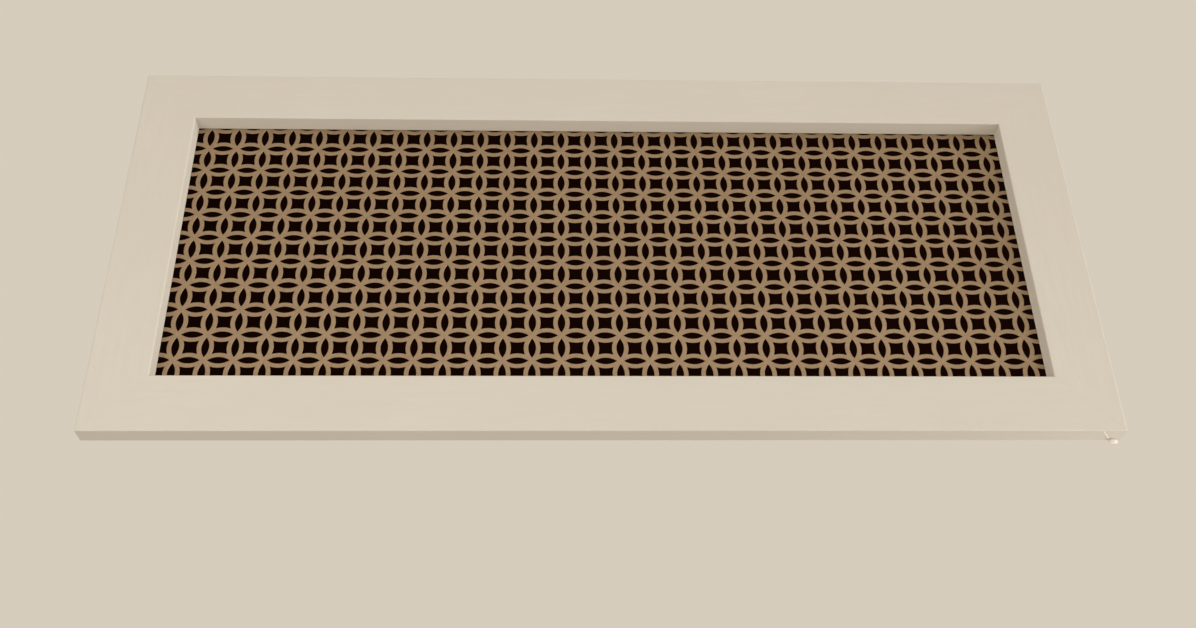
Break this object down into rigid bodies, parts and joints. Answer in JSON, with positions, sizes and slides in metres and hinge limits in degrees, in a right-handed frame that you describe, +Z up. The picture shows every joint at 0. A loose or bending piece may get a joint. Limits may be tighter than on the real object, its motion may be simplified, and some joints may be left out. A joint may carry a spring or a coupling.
{
  "type": "wall vent cover",
  "caption": "Wall vent cover: a flat mitred frame of painted boards round a thin pierced metal sheet with a pattern of interlocking circles, fixed flat over a duct opening.",
  "frame": {"origin": "centre of the top rail's flat back face, which lies on the wall", "axes": "+X along the cover, +Y out of its back into the wall, +Z up"},
  "size_m": [0.8652, 0.0175, 0.3792],
  "materials": {
    "painted_board": "wood boards in warm off-white eggshell wall paint",
    "bronze_sheet": "thin pierced sheet metal in a satin light bronze finish"
  },
  "bodies": {
    "root": {"top_rail": "painted_board", "bottom_rail": "painted_board", "left_stile": "painted_board", "right_stile": "painted_board", "pierced_sheet": "bronze_sheet"}
  },
  "joints": []
}
